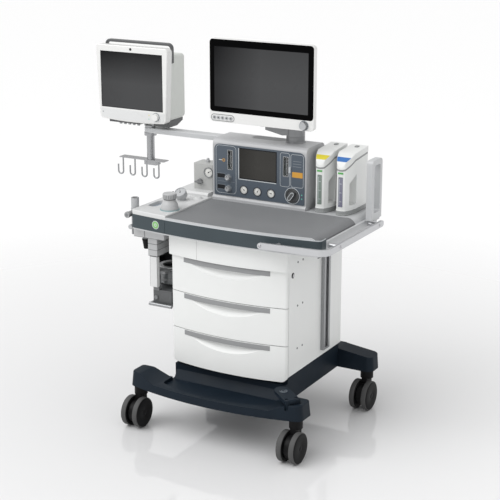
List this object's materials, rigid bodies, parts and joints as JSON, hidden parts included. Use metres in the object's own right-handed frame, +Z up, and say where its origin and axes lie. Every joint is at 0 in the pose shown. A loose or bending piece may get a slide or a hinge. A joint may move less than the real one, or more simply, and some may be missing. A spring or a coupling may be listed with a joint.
{
  "type": "anesthesia machine",
  "caption": "Wheeled veterinary anesthesia machine: drawer cabinet, worktop with rail, control unit, vaporizers, absorber, main screen and a patient monitor on an arm.",
  "frame": {"origin": "bottom centre of the whole machine's bounding box, on the floor", "axes": "+Z up, -Y towards the user at the front, +X to the user's right"},
  "size_m": [1.3502, 0.7645, 1.547],
  "materials": {
    "base_navy": "satin powder coat",
    "caster_black": "fine-grained moulding",
    "tyre_grey": "smooth grey polyurethane",
    "cabinet_white": "satin moulding",
    "cover_grey": "satin powder coat on sheet steel",
    "frame_steel": "zinc-plated sheet",
    "grip_grey": "satin grey grip",
    "aluminium": "anodised",
    "screw_steel": "polished",
    "tray_light": "satin moulding",
    "band_dark": "satin, fine-grained",
    "mat_grey": "fine-textured mat",
    "panel_blue": "satin printed panel",
    "display_dark": "matt display film",
    "clear_tube": "clear",
    "dial_white": "printed dial",
    "knob_grey": "satin",
    "switch_black": "glossy",
    "glass_black": "black glass",
    "monitor_white": "semi-gloss moulding",
    "metal_grey": "silver paint",
    "seat_grey": "satin",
    "breathing_grey": "cast, bead-blasted",
    "canister_clear": "smoked moulding",
    "handle_grey": "satin"
  },
  "bodies": {
    "frame": {"base_chassis": "base_navy", "boom_mast": "metal_grey", "breathing_block": "breathing_grey", "cabinet_covers": "cover_grey", "cabinet_frame": "frame_steel", "cover_screws": "screw_steel", "flow_tubes": "clear_tube", "front_apron": "cabinet_white", "front_band": "band_dark", "gauge_set": "dial_white", "guard_handle": "cabinet_white", "left_deck": "cabinet_white", "monitor_column": "metal_grey", "side_channel": "aluminium", "side_rail": "aluminium", "suction_unit": "seat_grey", "unit_display": "display_dark", "unit_housing": "tray_light", "unit_panel": "panel_blue", "vaporizer_seats": "seat_grey", "worktop_mat": "mat_grey", "worktop_tray": "tray_light"},
    "caster_front_left": {"caster_housing_front_left": "caster_black"},
    "wheels_front_left": {"caster_wheels_front_left": "tyre_grey"},
    "caster_front_right": {"caster_housing_front_right": "caster_black"},
    "wheels_front_right": {"caster_wheels_front_right": "tyre_grey"},
    "caster_rear_left": {"caster_housing_rear_left": "caster_black"},
    "wheels_rear_left": {"caster_wheels_rear_left": "tyre_grey"},
    "caster_rear_right": {"caster_housing_rear_right": "caster_black"},
    "wheels_rear_right": {"caster_wheels_rear_right": "tyre_grey"},
    "brake_pedal": {"brake_pedal": "base_navy"},
    "drawer_upper": {"drawer_upper": "cabinet_white", "drawer_grip_upper": "grip_grey"},
    "drawer_middle": {"drawer_middle": "cabinet_white", "drawer_grip_middle": "grip_grey"},
    "drawer_lower": {"drawer_lower": "cabinet_white", "drawer_grip_lower": "grip_grey"},
    "drawer_lock": {"drawer_lock": "screw_steel"},
    "flow_knob_upper": {"flow_knob_upper": "knob_grey"},
    "flow_knob_lower": {"flow_knob_lower": "knob_grey"},
    "system_switch": {"system_switch": "switch_black"},
    "monitor_arm": {"monitor_arm": "metal_grey"},
    "monitor": {"monitor_housing": "monitor_white", "monitor_glass": "glass_black"},
    "monitor_knob": {"monitor_knob": "knob_grey"},
    "boom_arm": {"boom_arm": "tray_light"},
    "boom_hanger": {"boom_hanger": "aluminium"},
    "patient_monitor": {"patient_housing": "cover_grey", "patient_front": "monitor_white", "patient_screen": "display_dark", "patient_handle": "handle_grey"},
    "patient_knob": {"patient_knob": "monitor_white"},
    "vaporizer_left": {"vaporizer_body_left": "cabinet_white", "vaporizer_cap_left": "cabinet_white"},
    "vaporizer_right": {"vaporizer_body_right": "cabinet_white", "vaporizer_cap_right": "cabinet_white"},
    "suction_knob": {"suction_knob": "knob_grey"},
    "apl_valve": {"apl_valve": "knob_grey"},
    "absorber_lever": {"absorber_lever": "aluminium"},
    "absorber_canister": {"absorber_canister": "canister_clear"}
  },
  "joints": [
    {"name": "swivel_front_left", "type": "hinge", "parent": "frame", "child": "caster_front_left", "pos_m": [-0.1579, -0.28475, 0.15], "axis": [0, 0, 1], "continuous": true},
    {"name": "roll_front_left", "type": "hinge", "parent": "caster_front_left", "child": "wheels_front_left", "pos_m": [-0.1579, -0.31975, 0.0625], "axis": [1, 0, 0], "continuous": true},
    {"name": "swivel_front_right", "type": "hinge", "parent": "frame", "child": "caster_front_right", "pos_m": [0.5581, -0.28475, 0.15], "axis": [0, 0, 1], "continuous": true},
    {"name": "roll_front_right", "type": "hinge", "parent": "caster_front_right", "child": "wheels_front_right", "pos_m": [0.5581, -0.31975, 0.0625], "axis": [1, 0, 0], "continuous": true},
    {"name": "swivel_rear_left", "type": "hinge", "parent": "frame", "child": "caster_rear_left", "pos_m": [-0.1749, 0.33125, 0.15], "axis": [0, 0, 1], "continuous": true},
    {"name": "roll_rear_left", "type": "hinge", "parent": "caster_rear_left", "child": "wheels_rear_left", "pos_m": [-0.1749, 0.29625, 0.0625], "axis": [1, 0, 0], "continuous": true},
    {"name": "swivel_rear_right", "type": "hinge", "parent": "frame", "child": "caster_rear_right", "pos_m": [0.5751, 0.33125, 0.15], "axis": [0, 0, 1], "continuous": true},
    {"name": "roll_rear_right", "type": "hinge", "parent": "caster_rear_right", "child": "wheels_rear_right", "pos_m": [0.5751, 0.29625, 0.0625], "axis": [1, 0, 0], "continuous": true},
    {"name": "brake_press", "type": "hinge", "parent": "frame", "child": "brake_pedal", "pos_m": [0.5451, -0.29475, 0.238], "axis": [-0.6018, -0.7986, 0], "range_deg": [0, 8]},
    {"name": "drawer_upper_slide", "type": "slide", "parent": "frame", "child": "drawer_upper", "axis": [0, -1, 0], "range_m": [0, 0.36]},
    {"name": "drawer_middle_slide", "type": "slide", "parent": "frame", "child": "drawer_middle", "axis": [0, -1, 0], "range_m": [0, 0.36]},
    {"name": "drawer_lower_slide", "type": "slide", "parent": "frame", "child": "drawer_lower", "axis": [0, -1, 0], "range_m": [0, 0.36]},
    {"name": "lock_turn", "type": "hinge", "parent": "frame", "child": "drawer_lock", "pos_m": [0.4641, -0.14075, 0.69], "axis": [1, 0, 0], "range_deg": [0, 90]},
    {"name": "flow_upper_turn", "type": "hinge", "parent": "frame", "child": "flow_knob_upper", "pos_m": [0.0331, 0.10725, 0.979], "axis": [0, -1, 0], "continuous": true},
    {"name": "flow_lower_turn", "type": "hinge", "parent": "frame", "child": "flow_knob_lower", "pos_m": [0.0331, 0.10725, 0.932], "axis": [0, -1, 0], "continuous": true},
    {"name": "system_switch_turn", "type": "hinge", "parent": "frame", "child": "system_switch", "pos_m": [0.3281, 0.10725, 0.936], "axis": [0, -1, 0], "range_deg": [0, 90]},
    {"name": "monitor_swivel", "type": "hinge", "parent": "frame", "child": "monitor_arm", "pos_m": [0.2901, 0.20625, 1.16], "axis": [0, 0, 1], "range_deg": [-40, 40]},
    {"name": "monitor_tilt", "type": "hinge", "parent": "monitor_arm", "child": "monitor", "pos_m": [0.1931, 0.14025, 1.33], "axis": [-1, 0, 0], "range_deg": [0, 15]},
    {"name": "monitor_knob_turn", "type": "hinge", "parent": "monitor", "child": "monitor_knob", "pos_m": [0.3871, 0.08825, 1.231], "axis": [0, -1, 0], "continuous": true},
    {"name": "boom_swing", "type": "hinge", "parent": "frame", "child": "boom_arm", "pos_m": [-0.0719, 0.25025, 1.097], "axis": [0, 0, 1], "range_deg": [-30, 45]},
    {"name": "hanger_swivel", "type": "hinge", "parent": "boom_arm", "child": "boom_hanger", "pos_m": [-0.4419, 0.25025, 1.097], "axis": [0, 0, 1], "range_deg": [-60, 60]},
    {"name": "patient_tilt", "type": "hinge", "parent": "boom_hanger", "child": "patient_monitor", "pos_m": [-0.4419, 0.25025, 1.14], "axis": [1, 0, 0], "range_deg": [-12, 12]},
    {"name": "patient_knob_turn", "type": "hinge", "parent": "patient_monitor", "child": "patient_knob", "pos_m": [-0.3709, 0.18825, 1.177], "axis": [0, -1, 0], "continuous": true},
    {"name": "vaporizer_left_lift", "type": "slide", "parent": "frame", "child": "vaporizer_left", "axis": [0, 0, 1], "range_m": [0, 0.06]},
    {"name": "vaporizer_right_lift", "type": "slide", "parent": "frame", "child": "vaporizer_right", "axis": [0, 0, 1], "range_m": [0, 0.06]},
    {"name": "suction_turn", "type": "hinge", "parent": "frame", "child": "suction_knob", "pos_m": [-0.1219, 0.13825, 0.938], "axis": [0, -1, 0], "range_deg": [-135, 135]},
    {"name": "apl_turn", "type": "hinge", "parent": "frame", "child": "apl_valve", "pos_m": [-0.0879, -0.15375, 0.887], "axis": [0, 0, 1], "range_deg": [0, 270]},
    {"name": "absorber_release", "type": "hinge", "parent": "frame", "child": "absorber_lever", "pos_m": [-0.1339, -0.06175, 0.486], "axis": [1, 0, 0], "range_deg": [0, 70]},
    {"name": "canister_drop", "type": "slide", "parent": "frame", "child": "absorber_canister", "axis": [0, 0, -1], "range_m": [0, 0.0065]}
  ],
  "couplings": [
    {"joint": "canister_drop", "follows": "absorber_release", "m_per_rad": 0.005}
  ]
}
